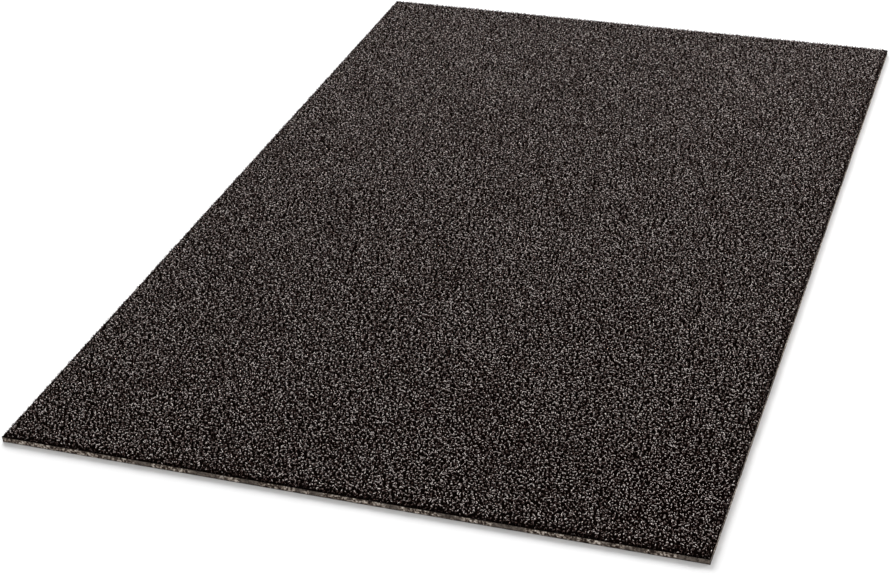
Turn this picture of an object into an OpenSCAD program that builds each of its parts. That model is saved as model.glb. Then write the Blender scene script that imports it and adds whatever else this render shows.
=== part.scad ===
// Anti fatigue mat: a cushioned floor mat, laminated from full-size sheets and cut square.
// X runs across the mat, Y along it and Z up. The origin is at the middle of its underside.
// From the floor up it is a grip skin, a foam cushion, a bonding film, a carrier cloth and
// a pile of small loops that is rounded over towards its cut edges.

/* [Overall size] */
// Width of the mat, across its short side, in mm
mat_width = 914.4; // [450:0.1:1220]
// Length of the mat, in mm
mat_length = 1524; // [600:0.1:3050]

/* [Layers] */
// Thickness of the non-slip skin that lies on the floor
grip_thickness = 0.6; // [0.3:0.1:2]
// Thickness of the closed-cell foam cushion
foam_thickness = 6.2; // [3:0.1:20]
// Thickness of the film that bonds the foam to the carrier cloth
bond_thickness = 0.2; // [0.1:0.05:0.6]
// Thickness of the woven cloth that holds the roots of the loops
carrier_thickness = 0.5; // [0.3:0.1:1.5]
// Height of the looped pile above the carrier cloth
pile_thickness = 5.2; // [3:0.1:12]

/* [Rounded edges of the pile] */
// How far in from the cut edge the pile starts to round over
shoulder_width = 12; // [4:1:40]
// Share of the pile's height that it has lost at the cut edge
shoulder_share = 0.6; // [0.2:0.05:0.8]

/* [Hidden] */
// Flats that make up each rounded shoulder
shoulder_steps = 8;

// The underside of each layer lies on the top of the layer below it
grip_bottom = 0;
foam_bottom = grip_bottom + grip_thickness;
bond_bottom = foam_bottom + foam_thickness;
carrier_bottom = bond_bottom + bond_thickness;
pile_bottom = carrier_bottom + carrier_thickness;

shoulder_drop = pile_thickness * shoulder_share;
edge_height = pile_thickness - shoulder_drop;

// One full-size sheet of the laminate, with square-cut sides
module sheet(bottom, thickness) {
    translate([0, 0, bottom + thickness / 2])
        cube([mat_width, mat_length, thickness], center = true);
}

// A shoulder's quarter ellipse, from the cut edge at angle 0 to the flat top at 90 degrees
function shoulder_point(span, angle) = [
    span / 2 - shoulder_width * (1 - cos(angle)),
    edge_height + shoulder_drop * sin(angle)
];

// End view of the pile over one span: a flat underside and a rounded shoulder at each side
module pile_profile(span) {
    right = [
        for (i = [0 : shoulder_steps])
            shoulder_point(span, 90 * i / shoulder_steps)
    ];
    left = [
        for (i = [shoulder_steps : -1 : 0])
            [-right[i][0], right[i][1]]
    ];
    foot = [[-span / 2, 0], [span / 2, 0]];
    polygon(concat(foot, right, left));
}

// The pile's profile drawn out along the Y axis
module pile_bar(span, run) {
    rotate([90, 0, 0])
        linear_extrude(height = run, center = true)
            pile_profile(span);
}

// Looped pile: the profiles of the width and of the length meet in mitred corners
module loop_pile() {
    color([0.2, 0.17, 0.16])
        translate([0, 0, pile_bottom])
            intersection() {
                pile_bar(mat_width, mat_length);
                rotate([0, 0, 90])
                    pile_bar(mat_length, mat_width);
            }
}

// Woven cloth under the pile, which the loops are stitched through
module carrier_cloth() {
    color([0.12, 0.11, 0.1])
        sheet(carrier_bottom, carrier_thickness);
}

// Thin film that holds the cloth to the foam
module bond_film() {
    color([0.75, 0.72, 0.66, 0.8])
        sheet(bond_bottom, bond_thickness);
}

// Closed-cell foam, which gives under the feet
module foam_cushion() {
    color([0.36, 0.32, 0.29])
        sheet(foam_bottom, foam_thickness);
}

// Rubbery skin that keeps the mat from creeping over the floor
module grip_skin() {
    color([0.16, 0.15, 0.14])
        sheet(grip_bottom, grip_thickness);
}

loop_pile();
carrier_cloth();
bond_film();
foam_cushion();
grip_skin();
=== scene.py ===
import math

import bpy
import numpy as np
from mathutils import Matrix, Vector


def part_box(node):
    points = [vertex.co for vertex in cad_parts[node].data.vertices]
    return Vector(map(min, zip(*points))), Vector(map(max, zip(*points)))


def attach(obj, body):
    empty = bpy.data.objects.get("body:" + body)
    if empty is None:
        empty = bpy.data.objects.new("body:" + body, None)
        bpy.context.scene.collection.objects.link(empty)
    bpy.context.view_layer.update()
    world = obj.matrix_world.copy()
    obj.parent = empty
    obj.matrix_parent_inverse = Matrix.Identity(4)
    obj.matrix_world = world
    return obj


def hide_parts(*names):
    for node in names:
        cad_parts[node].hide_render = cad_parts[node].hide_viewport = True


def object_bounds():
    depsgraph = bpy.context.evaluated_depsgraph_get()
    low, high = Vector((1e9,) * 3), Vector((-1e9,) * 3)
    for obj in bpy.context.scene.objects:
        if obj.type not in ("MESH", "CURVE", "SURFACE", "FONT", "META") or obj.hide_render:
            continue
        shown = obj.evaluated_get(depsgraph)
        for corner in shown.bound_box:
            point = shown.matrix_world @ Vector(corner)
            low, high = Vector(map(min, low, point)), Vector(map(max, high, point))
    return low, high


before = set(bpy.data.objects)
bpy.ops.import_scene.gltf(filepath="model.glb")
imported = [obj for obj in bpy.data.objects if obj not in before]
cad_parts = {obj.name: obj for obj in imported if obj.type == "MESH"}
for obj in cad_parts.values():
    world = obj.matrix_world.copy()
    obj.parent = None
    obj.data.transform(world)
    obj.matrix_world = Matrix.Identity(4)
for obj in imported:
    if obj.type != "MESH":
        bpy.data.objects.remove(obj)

cadLow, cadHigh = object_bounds()

mm = 0.001
width, length = (cadHigh - cadLow)[:2]
pileLow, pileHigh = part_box("loop_pile")
clothLow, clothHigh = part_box("carrier_cloth")
filmLow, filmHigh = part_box("bond_film")
foamLow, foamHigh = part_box("foam_cushion")
gripLow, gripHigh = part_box("grip_skin")
pileHeight = pileHigh.z - pileLow.z


def between(low, high, share):
    # low where share is 0, high where it is 1, and even steps in between
    return low + (high - low) * share


class Wire:
    # an output socket that takes part in sums; each operator adds one Math node
    def __init__(self, finish, socket):
        self.finish, self.socket = finish, socket

    def maths(self, operation, *values):
        return self.finish.add("ShaderNodeMath", {"operation": operation}, values)

    def __add__(self, other):
        return self.maths("ADD", self, other)

    def __radd__(self, other):
        return self.maths("ADD", other, self)

    def __sub__(self, other):
        return self.maths("SUBTRACT", self, other)

    def __rsub__(self, other):
        return self.maths("SUBTRACT", other, self)

    def __mul__(self, other):
        return self.maths("MULTIPLY", self, other)

    def __rmul__(self, other):
        return self.maths("MULTIPLY", other, self)

    def __pow__(self, other):
        return self.maths("POWER", self, other)

    def __rpow__(self, other):
        return self.maths("POWER", other, self)


class Finish:
    # a material with one Principled shader, and the nodes that feed it
    def __init__(self, name, **constants):
        self.material = bpy.data.materials.new(name)
        self.material.use_nodes = True
        self.nodes = self.material.node_tree.nodes
        self.links = self.material.node_tree.links
        self.shader = self.nodes["Principled BSDF"]
        self.paint(**constants)

    def add(self, kind, settings=None, values=(), output=0):
        # any node: its settings first, then its sockets' values or links
        node = self.nodes.new(kind)
        for name, value in (settings or {}).items():
            if name == "stops":
                self.setStops(node.color_ramp, value)
            else:
                setattr(node, name, value)
        pairs = values.items() if isinstance(values, dict) else enumerate(values)
        for socket, value in pairs:
            self.feed(node.inputs[socket], value)
        return Wire(self, node.outputs[output])

    def feed(self, socket, value):
        if isinstance(value, Wire):
            self.links.new(value.socket, socket)
        elif socket.type == "RGBA":
            socket.default_value = (*value, 1.0)
        else:
            socket.default_value = value

    def setStops(self, ramp, stops):
        while len(ramp.elements) < len(stops):
            ramp.elements.new(1.0)
        for element, (place, colour) in zip(ramp.elements, stops):
            element.position = place
            element.color = (*colour, 1.0)

    def place(self):
        return self.add("ShaderNodeTexCoord", output="Object")

    def attribute(self, name):
        return self.add("ShaderNodeAttribute", {"attribute_name": name}, output="Fac")

    def noise(self, where, scale, detail=2.0, roughness=0.5):
        values = {"Vector": where, "Scale": scale, "Detail": detail, "Roughness": roughness}
        return self.add("ShaderNodeTexNoise", {}, values)

    def cells(self, where, scale):
        return self.add("ShaderNodeTexVoronoi", {}, {"Vector": where, "Scale": scale})

    def threads(self, where, pitch, direction):
        # bands across one direction, pitch apart: 20 * scale * place is the wave's angle
        settings = {"wave_type": "BANDS", "bands_direction": direction}
        values = {"Vector": where, "Scale": 2 * math.pi / (20 * pitch), "Distortion": 0.6}
        return self.add("ShaderNodeTexWave", settings, values, "Fac")

    def stretch(self, value, low, high):
        # 0 below low, 1 above high, and straight between them
        values = {"Value": value, "From Min": low, "From Max": high}
        return self.add("ShaderNodeMapRange", {}, values)

    def ramp(self, factor, stops):
        return self.add("ShaderNodeValToRGB", {"stops": stops}, {"Fac": factor})

    def mix(self, factor, first, second):
        # sockets 0, 6 and 7 are the factor and the two colours, and output 2 is the colour made
        values = {0: factor, 6: first, 7: second}
        return self.add("ShaderNodeMix", {"data_type": "RGBA"}, values, 2)

    def bump(self, height, distance, strength):
        values = {"Height": height, "Distance": distance, "Strength": strength}
        self.paint(Normal=self.add("ShaderNodeBump", {}, values, "Normal"))

    def paint(self, **values):
        for socket, value in values.items():
            self.feed(self.shader.inputs[socket.replace("_", " ")], value)


def arrayPiece(name, points, corners, sizes, finish):
    # a mesh from whole arrays, sizes being each face's number of corners
    # it rides on the mat's one body
    mesh = bpy.data.meshes.new(name)
    mesh.vertices.add(len(points))
    mesh.vertices.foreach_set("co", np.asarray(points, np.float32).ravel())
    mesh.loops.add(corners.size)
    mesh.loops.foreach_set("vertex_index", corners.astype(np.int32).ravel())
    mesh.polygons.add(len(sizes))
    starts = np.concatenate([[0], np.cumsum(sizes)[:-1]])
    mesh.polygons.foreach_set("loop_start", starts.astype(np.int32))
    mesh.update(calc_edges=True)
    mesh.materials.append(finish.material)
    piece = bpy.data.objects.new(name, mesh)
    bpy.context.scene.collection.objects.link(piece)
    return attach(piece, "root")


pile = {
    "courses": 10,                  # strips of pile side by side, each a piece of its own
    "rowsPerCourse": 24,            # lengthwise rows of loops in a strip
    "loopsPerRow": 384,
    "stages": (0.0, 0.33, 0.67, 1.0),  # where along a loop its rings of points are
    "sides": 3,                     # of the yarn's cross-section
    "yarnRadius": (0.42 * mm, 0.62 * mm),
    "span": (2.0 * mm, 4.2 * mm),   # between a loop's two roots
    "lean": (0.0, 0.42),            # radians from upright
    "topShare": (0.72, 1.0),        # height of a loop's crown, as a share of the pile's
    "jitter": 0.48,                 # of a loop's place, as a share of the spacing
    "archPower": 0.8,               # below 1, which makes an arch squarer
    "rootShare": 0.72,              # of the yarn's thickness that it keeps at the roots
    "rootDepth": 0.3 * mm,          # how far the roots go into the cloth
    "leastCrown": 0.3 * mm,         # the lowest that a loop gets on the shoulder
    "shoulderWidth": 16 * mm,
    "shoulderShare": 0.6,           # of the height that is lost at the cut edge
    "overhang": 0.6 * mm,           # how far a loop may stick out past the cut edge
    "droop": 3.0,                   # how far it then hangs, for each step outward
    "gain": 1.95,                   # lightness of the whole pile
    "shadeOnShoulder": 2.2,       # painted shade: how fast lower loops get darker, most on the shoulder that turns from the light
    "shadeToRoots": 8.0,               # painted shade: how fast the yarn darkens towards the roots, where the loops shade each other
    "usualLoop": 0.95,              # lightness of most loops
    "paleLoops": (14.0, 13.0),      # how much lighter the palest are, and how few they are: random tone, and painted glints on a few loops
    "fleckScale": 420.0,            # flecks in each metre of yarn: lighter fibre, and painted glints
    "fleckEdges": (0.38, 0.62),     # noise at which a fleck begins and is full
    "plain": 0.1,                   # lightness left between the flecks
    "driftScale": 6.0,              # slow drifts in lightness, in each metre
    "drift": (0.7, 1.3),            # their least and greatest factor
    "roughness": (0.18, 0.38),      # between the flecks, and on them
    "fibreScale": 1500.0,           # fibres in each metre, as bump
    "fibreDepth": 0.25 * mm,
    "mapMargin": 0.08,              # kept clear round a loop in its cell of the map
    "seed": 11,
}


def yarnFinish():
    finish = Finish("pileYarn", IOR=1.5, Specular_IOR_Level=0.2)
    where = finish.place()
    tone = finish.attribute("tone")         # one random value for each loop
    rise = finish.attribute("rise")         # 0 at a loop's roots and 1 at its crown
    level = finish.attribute("level")       # height of the crown, as a share of the pile's
    fleck = finish.noise(where, pile["fleckScale"], 1.0)
    fleck = finish.stretch(fleck, *pile["fleckEdges"])
    drift = finish.noise(where, pile["driftScale"], 3.0)
    # the lighter flecks are partly lighter fibre and partly painted highlights, standing in for
    # glints on the yarn
    heatherAndGlints = between(pile["plain"], 1.0, fleck) * between(*pile["drift"], drift)
    paler, fewness = pile["paleLoops"]
    # the few palest loops are random tone and also painted highlights, in place of the glints of
    # shiny yarn
    loopTone = pile["usualLoop"] + paler * tone ** fewness
    # painted shade: lower loops, and the yarn down towards the roots, get darker colour in place
    # of the shade among the loops
    paintedShade = level ** pile["shadeOnShoulder"] * rise ** pile["shadeToRoots"]
    light = pile["gain"] * paintedShade * loopTone * heatherAndGlints
    base = finish.ramp(light, [(0.0, (0.006, 0.0012, 0.0008)), (0.2, (0.097, 0.050, 0.042)),
                               (0.5, (0.3, 0.232, 0.212)), (1.0, (0.84, 0.76, 0.73))])
    finish.paint(Base_Color=base, Roughness=between(*pile["roughness"], fleck))
    finish.bump(finish.noise(where, pile["fibreScale"]), pile["fibreDepth"], 0.7)
    return finish


def shoulderHeight(gap):
    # a quarter ellipse from the cut edge up to the level top, gap being the way in from the edge
    share = np.clip(1 - gap / pile["shoulderWidth"], 0, 1)
    return 1 - pile["shoulderShare"] * (1 - np.sqrt(1 - share**2))


def loopField(rng):
    # places on a jittered grid of rows and loops, and a random size and direction for each loop
    rows, count = pile["courses"] * pile["rowsPerCourse"], pile["loopsPerRow"]
    row, along = np.indices((rows, count))

    def draw(low, high):
        return rng.uniform(low, high, row.shape)

    jitter = pile["jitter"]
    x = (row + 0.5 + draw(-jitter, jitter)) / rows - 0.5
    y = (along + 0.25 + 0.5 * (row % 2) + draw(-jitter, jitter)) / count - 0.5
    field = {
        "x": x * width,
        "y": y * length,
        "turn": draw(0, 2 * np.pi),
        "lean": draw(*pile["lean"]),
        "span": draw(*pile["span"]),
        "radius": draw(*pile["yarnRadius"]),
        "top": draw(*pile["topShare"]),
        "tone": draw(0, 1),
    }
    shoulder = (shoulderHeight(width / 2 - abs(field["x"]))
                * shoulderHeight(length / 2 - abs(field["y"])))
    height = pileHeight * field["top"] * shoulder
    middle = np.maximum(height - field["radius"], pile["leastCrown"])
    field["crown"] = middle / np.cos(field["lean"])
    return field


def loopTubes(field):
    # each loop's middle line is an arch that leans over sideways:
    # along = -cos(pi t) * span / 2, up = sin(pi t) ^ archPower * crown
    # a ring of points round it at each stage makes the tube
    t = np.array(pile["stages"])[None, :, None, None]
    turn, lean = field["turn"][:, None, None], field["lean"][:, None, None]
    forward = np.stack([np.cos(turn), np.sin(turn), 0 * turn], -1)
    slope = np.sin(lean)
    upward = np.stack([-np.sin(turn) * slope, np.cos(turn) * slope, np.cos(lean)], -1)
    sideways = np.cross(forward, upward)
    half = field["span"][:, None, None, None] / 2
    crown = field["crown"][:, None, None, None]
    arch = np.sin(np.pi * t) ** pile["archPower"]
    middle = -np.cos(np.pi * t) * half * forward + arch / arch.max() * crown * upward
    middle[..., 2] -= pile["rootDepth"] * (1 - arch[..., 0])
    run = np.gradient(middle, axis=1)
    run /= np.linalg.norm(run, axis=-1, keepdims=True)
    out = np.cross(sideways, run)
    thickness = between(pile["rootShare"], 1, arch)
    radius = field["radius"][:, None, None, None] * thickness
    angle = (np.arange(pile["sides"]) * 2 * np.pi / pile["sides"])[None, None, :, None]
    points = middle + radius * (np.cos(angle) * out + np.sin(angle) * sideways)
    points[..., 0] += field["x"][:, None, None]
    points[..., 1] += field["y"][:, None, None]
    # loops that would stick out too far past the cut edge are moved in
    for axis, size in ((0, width), (1, length)):
        limit = size / 2 + pile["overhang"]
        high = points[..., axis].max((1, 2))[:, None, None]
        low = points[..., axis].min((1, 2))[:, None, None]
        points[..., axis] -= np.maximum(high - limit, 0) + np.minimum(low + limit, 0)
    beyond = np.maximum(abs(points[..., 0]) - width / 2, abs(points[..., 1]) - length / 2)
    top = points[..., 2].max((1, 2))[:, None, None]
    values = {"rise": np.clip(points[..., 2] / top, 0, 1),
              "level": top / pileHeight,
              "tone": field["tone"][:, None, None]}
    # and what is left outside hangs down
    points[..., 2] += pileLow.z - pile["droop"] * np.maximum(beyond, 0)
    shape = points.shape[:3]
    values = {key: np.broadcast_to(value, shape).ravel() for key, value in values.items()}
    return points.reshape(-1, 3), values


def tubePattern():
    # corners of one tube, as (ring, side): first its walls' four each, then its two closing faces'
    rings, sides = len(pile["stages"]), pile["sides"]
    ring, side = (axis.ravel() for axis in np.indices((rings - 1, sides)))
    walls = np.stack([ring, side, ring, side + 1, ring + 1, side + 1, ring + 1, side], -1)
    turn = np.arange(sides)
    near = np.stack([0 * turn, turn[::-1]], -1)
    far = np.stack([0 * turn + rings - 1, turn], -1)
    sizes = [4] * (sides * (rings - 1)) + [sides] * 2
    return np.concatenate([walls.reshape(-1, 2), near, far]), np.array(sizes)


def makePile():
    finish = yarnFinish()
    field = loopField(np.random.default_rng(pile["seed"]))
    corners, sizes = tubePattern()
    rings, sides = len(pile["stages"]), pile["sides"]
    per, count = pile["rowsPerCourse"], pile["rowsPerCourse"] * pile["loopsPerRow"]
    cell = np.arange(count)[:, None]
    index = cell * rings * sides + corners[:, 0] * sides + corners[:, 1] % sides
    # each loop is unrolled in a square cell of the map
    across = math.ceil(math.sqrt(count))
    margin = pile["mapMargin"]
    inner = between(margin, 1 - margin, corners[:, ::-1] / [sides, rings - 1])
    uv = (np.stack([cell % across, cell // across], -1) + inner) / across
    courses = []
    for course in range(pile["courses"]):
        taken = slice(course * per, (course + 1) * per)
        part = {key: value[taken].ravel() for key, value in field.items()}
        points, values = loopTubes(part)
        name = f"pileCourse{course + 1}"
        piece = arrayPiece(name, points, index, np.tile(sizes, count), finish)
        piece.data.shade_smooth()
        layer = piece.data.uv_layers.new(name="OFBake", do_init=False)
        layer.uv.foreach_set("vector", uv.astype(np.float32).ravel())
        for key, value in values.items():
            made = piece.data.attributes.new(key, "FLOAT", "POINT")
            made.data.foreach_set("value", value.astype(np.float32))
        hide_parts("loop_pile")
        courses.append(piece)
    print("pile:", len(courses), "courses of", count, "loops")
    return courses


cut = {
    "step": 3 * mm,          # between points along the cut edge
    "wander": 0.35 * mm,     # how far the knife strays from a straight line
    "waves": (37, 83),       # how often it does so on its way round
    "flat": 6 * mm,          # from the cut edge to where a layer's flat face begins
}


def cutOutline():
    # points round a unit rectangle, anticlockwise from the front left corner, and how far each is
    # set in: wander * (2 - sin(a t) - sin(b t)) / 4, t going once round
    across, along = round(width / cut["step"]), round(length / cut["step"])
    s, t = np.arange(across) / across * 2 - 1, np.arange(along) / along * 2 - 1
    one, other = np.ones(across), np.ones(along)
    sides = [(s, -one), (other, t), (-s, one), (-other, -t)]
    unit = np.concatenate([np.stack(side, -1) for side in sides])
    around = np.arange(len(unit)) / len(unit) * 2 * np.pi
    first, second = (np.sin(wave * around) for wave in cut["waves"])
    return unit, cut["wander"] * (2 - first - second) / 4


outline, strayed = cutOutline()


def cutRings(low, high, rows, roughness, seed):
    # rings up a cut side, at even heights: the inset is a random value smoothed along the edge
    # and a ring further in on each face keeps that face flat
    relief = np.random.default_rng(seed).normal(size=(rows, len(outline)))
    relief = (np.roll(relief, 1, 1) + 2 * relief + np.roll(relief, -1, 1)) / 4 * roughness
    heights = np.linspace(low.z, high.z, rows)
    return [(cut["flat"], low.z), *zip(relief, heights), (cut["flat"], high.z)]


def layerPiece(name, rings, finish):
    # rings are (inset, height) pairs carried round the mat's edge
    # a flat face closes each end
    half = np.array([width / 2, length / 2])
    count = len(outline)
    points = []
    for inset, height in rings:
        flat = outline * (half - (strayed + inset)[:, None])
        points.append(np.concatenate([flat, np.full((count, 1), height)], 1))
    ring, step = np.indices((len(rings) - 1, count))
    here, beside = ring * count + step, ring * count + (step + 1) % count
    walls = np.stack([here, beside, beside + count, here + count], -1).ravel()
    caps = [np.arange(count)[::-1], np.arange((len(rings) - 1) * count, len(rings) * count)]
    sizes = np.array([4] * (len(walls) // 4) + [count] * 2)
    corners = np.concatenate([walls, *caps])
    return arrayPiece(name, np.concatenate(points), corners, sizes, finish)


cushion = {
    "rows": 7,               # of points up the foam's cut side
    "roughness": 0.25 * mm,  # that the knife leaves
    "speckScale": 330.0,     # pale and dark specks in each metre of the cut
    "dullScale": 22.0,       # smeared, dull stretches in each metre
    "dullEdges": (0.5, 0.56),  # noise at which a dull stretch begins and is full
    "poreScale": 520.0,
    "poreDepth": 0.4 * mm,
    "seed": 5,
}


def foamFinish():
    finish = Finish("cutFoam", Roughness=0.85, Specular_IOR_Level=0.2)
    where = finish.place()
    speck = finish.noise(where, cushion["speckScale"], 1.0)
    stretch = finish.stretch(finish.noise(where, cushion["dullScale"]), *cushion["dullEdges"])
    pale = finish.ramp(speck, [(0.36, (0.024, 0.014, 0.010)), (0.48, (0.13, 0.098, 0.078)),
                               (0.6, (0.44, 0.37, 0.31)), (0.72, (0.8, 0.73, 0.66))])
    dull = finish.ramp(speck, [(0.3, (0.055, 0.042, 0.034)), (0.7, (0.2, 0.165, 0.14))])
    finish.paint(Base_Color=finish.mix(stretch, pale, dull))
    finish.bump(finish.cells(where, cushion["poreScale"]), cushion["poreDepth"], 0.7)
    return finish


def makeFoam():
    rows, roughness, seed = cushion["rows"], cushion["roughness"], cushion["seed"]
    rings = cutRings(foamLow, foamHigh, rows, roughness, seed)
    foam = layerPiece("foamCushion", rings, foamFinish())
    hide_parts("foam_cushion")
    print("foam: made")
    return foam


carrier = {
    "rows": 3,               # of points up the cloth's cut side
    "threadPitch": 1.4 * mm,
    "threadDepth": 0.2 * mm,
    "wearScale": 300.0,
    "fray": 0.2 * mm,        # of the threads at the cut edge
    "seed": 6,
}


def clothFinish():
    finish = Finish("carrierWeave", Roughness=0.9, Specular_IOR_Level=0.0)
    where = finish.place()
    warp = finish.threads(where, carrier["threadPitch"], "X")
    weft = finish.threads(where, carrier["threadPitch"], "Y")
    weave = warp * (1.0 - weft) + weft * (1.0 - warp)
    worn = finish.noise(where, carrier["wearScale"])
    # painted shade: the cloth is coloured nearly black, darker than the yarn, so the gaps between
    # the loops read as deep shade
    stops = [(0.3, (0.002, 0.001, 0.0008)), (0.7, (0.006, 0.004, 0.003))]
    finish.paint(Base_Color=finish.ramp(0.6 * worn + 0.4 * weave, stops))
    finish.bump(weave, carrier["threadDepth"], 0.6)
    return finish


def makeCloth():
    rows, fray, seed = carrier["rows"], carrier["fray"], carrier["seed"]
    rings = cutRings(clothLow, clothHigh, rows, fray, seed)
    cloth = layerPiece("carrierCloth", rings, clothFinish())
    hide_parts("carrier_cloth")
    print("cloth: made")


film = {
    "rows": 2,               # of points up the film's side
    "squeeze": 0.15 * mm,    # how unevenly the glue came out at the edge
    "patchScale": 60.0,
    "dragScale": 900.0,      # marks of the roller, in each metre
    "dragDepth": 0.1 * mm,
    "seed": 7,
}


def filmFinish():
    finish = Finish("bondFilm", IOR=1.5)
    where = finish.place()
    patches = finish.noise(where, film["patchScale"], 3.0)
    drag = finish.noise(where, film["dragScale"])
    stops = [(0.3, (0.03, 0.022, 0.016)), (0.7, (0.07, 0.055, 0.045))]
    finish.paint(Base_Color=finish.ramp(patches, stops), Roughness=0.35 + 0.4 * drag)
    finish.bump(drag, film["dragDepth"], 0.5)
    return finish


def makeFilm():
    rings = cutRings(filmLow, filmHigh, film["rows"], film["squeeze"], film["seed"])
    piece = layerPiece("bondFilm", rings, filmFinish())
    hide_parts("bond_film")
    print("film: made")


grip = {
    "pitch": 24 * mm,        # of the waffle on the underside
    "hollow": 0.22 * mm,     # depth of its hollows
    "inset": 0.3 * mm,       # of the lower edge
    "studScale": 160.0,      # small moulded studs in each metre
    "studDepth": 0.6 * mm,
    "dustScale": 14.0,       # patches of dust in each metre
    "dustEdges": (0.5, 0.75),
    "grainScale": 700.0,
}


def gripFinish():
    finish = Finish("gripRubber", IOR=1.5)
    where = finish.place()
    studs = finish.cells(where, grip["studScale"])
    dust = finish.noise(where, grip["dustScale"], 4.0, 0.6)
    grain = finish.noise(where, grip["grainScale"])
    clean = finish.ramp(grain, [(0.3, (0.016, 0.014, 0.013)), (0.7, (0.032, 0.029, 0.027))])
    cover = 0.35 * finish.stretch(dust, *grip["dustEdges"])
    dusty = finish.mix(cover, clean, (0.11, 0.10, 0.09))
    finish.paint(Base_Color=dusty, Roughness=0.5 + 0.3 * dust)
    finish.bump(studs + 0.15 * grain, grip["studDepth"], 0.8)
    return finish


def makeGrip():
    # underside height = hollow * (1 - cos(2 pi x / pitch) * cos(2 pi y / pitch)) / 2
    # with four points to a pitch, and a wall up from its rim to a flat face on top
    across, along = (4 * round(size / grip["pitch"]) for size in (width, length))
    row, column = np.indices((along + 1, across + 1))
    lower = [width - 2 * grip["inset"], length - 2 * grip["inset"]]
    wave = np.cos(column * np.pi / 2) * np.cos(row * np.pi / 2)
    under = np.stack([(column / across - 0.5) * lower[0], (row / along - 0.5) * lower[1],
                      gripLow.z + grip["hollow"] * (1 - wave) / 2], -1).reshape(-1, 3)
    index = row * (across + 1) + column
    rim = np.concatenate([index[0, :-1], index[:-1, -1], index[-1, :0:-1], index[:0:-1, 0]])
    lip = under[rim] * [width / lower[0], length / lower[1], 0] + [0, 0, gripHigh.z]
    top = len(under) + np.arange(len(rim))
    faces = np.stack([index[:-1, :-1], index[1:, :-1], index[1:, 1:], index[:-1, 1:]], -1)
    walls = np.stack([rim, np.roll(rim, -1), np.roll(top, -1), top], -1)
    corners = np.concatenate([faces.ravel(), walls.ravel(), top])
    sizes = np.array([4] * (across * along + len(rim)) + [len(rim)])
    points = np.concatenate([under, lip])
    skin = arrayPiece("gripSkin", points, corners, sizes, gripFinish())
    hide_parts("grip_skin")
    print("grip: made")


studio = {
    "azimuth": 18.87,            # camera's place round the mat, degrees
    "elevation": 29.75,
    "roll": -1.614,
    "distance": 2.927,
    "target": (-0.034, -0.2327, 0.0),
    "lens": 82.5,
    "sensorWidth": 36.0,
    "clip": (0.1, 200.0),
    "keyFrom": (213.0, 26.0),    # azimuth and elevation, from behind on the left
    "keyWidth": 38.0,            # degrees across, which softens the shadows
    "keyStrength": 4.0,
    "fillFrom": (70.0, 50.0),
    "fillWidth": 60.0,
    "fillStrength": 0.45,
    "boxPlace": (2.1, 0.9, 1.1),  # a small softbox behind on the right
    "boxSize": 1.2,
    "boxPower": 22.0,
    "worldStrength": 0.46,
    "floorSize": 60.0,
    "floorShade": 0.9,
}


def direction(azimuth, elevation):
    # from the mat, azimuth being counted anticlockwise from the front
    a, e = math.radians(azimuth), math.radians(elevation)
    return Vector((math.sin(a) * math.cos(e), -math.cos(a) * math.cos(e), math.sin(e)))


def makeCamera():
    back = direction(studio["azimuth"], studio["elevation"])
    side = Vector((0, 0, 1)).cross(back).normalized()
    up = back.cross(side)
    r = math.radians(studio["roll"])
    right = side * math.cos(r) + up * math.sin(r)
    top = up * math.cos(r) - side * math.sin(r)
    turn = Matrix((right, top, back)).transposed().to_4x4()
    place = Vector(studio["target"]) + back * studio["distance"]
    camera = bpy.data.objects.new("camera", bpy.data.cameras.new("camera"))
    camera.data.lens = studio["lens"]
    camera.data.sensor_width = studio["sensorWidth"]
    camera.data.clip_start, camera.data.clip_end = studio["clip"]
    camera.matrix_world = Matrix.Translation(place) @ turn
    bpy.context.scene.collection.objects.link(camera)
    bpy.context.scene.camera = camera
    print("camera: made")


def softSun(name, fromAngles, angleAcross, strength):
    # a far light, as wide as a softbox looks, whose strength is the same all over the floor
    light = bpy.data.objects.new(name, bpy.data.lights.new(name, "SUN"))
    light.data.angle = math.radians(angleAcross)
    light.data.energy = strength
    light.rotation_euler = direction(*fromAngles).to_track_quat("Z", "Y").to_euler()
    bpy.context.scene.collection.objects.link(light)


def softBox(place, size, power):
    # a near light that faces the mat's middle, strongest on the side where it stands
    light = bpy.data.objects.new("softBox", bpy.data.lights.new("softBox", "AREA"))
    light.data.size = size
    light.data.energy = power
    light.location = place
    light.rotation_euler = Vector(place).to_track_quat("Z", "Y").to_euler()
    light.visible_camera = False
    bpy.context.scene.collection.objects.link(light)


def makeStudio():
    scene = bpy.context.scene
    scene.view_settings.view_transform = "Standard"
    world = bpy.data.worlds.new("studio")
    world.use_nodes = True
    background = world.node_tree.nodes["Background"]
    background.inputs["Color"].default_value = (1.0, 1.0, 1.0, 1.0)
    background.inputs["Strength"].default_value = studio["worldStrength"]
    scene.world = world
    softSun("keySun", studio["keyFrom"], studio["keyWidth"], studio["keyStrength"])
    softSun("fillSun", studio["fillFrom"], studio["fillWidth"], studio["fillStrength"])
    softBox(studio["boxPlace"], studio["boxSize"], studio["boxPower"])
    half = studio["floorSize"] / 2
    mesh = bpy.data.meshes.new("floor")
    points = [(-half, -half, 0), (half, -half, 0), (half, half, 0), (-half, half, 0)]
    mesh.from_pydata(points, [], [(0, 1, 2, 3)])
    finish = Finish("paleFloor", Base_Color=(studio["floorShade"],) * 3, Roughness=0.9)
    mesh.materials.append(finish.material)
    floor = bpy.data.objects.new("floor", mesh)
    scene.collection.objects.link(floor)
    print("studio: made")


makeCamera()
makeStudio()
pileCourses = makePile()
foamPiece = makeFoam()
makeFilm()
makeCloth()
makeGrip()
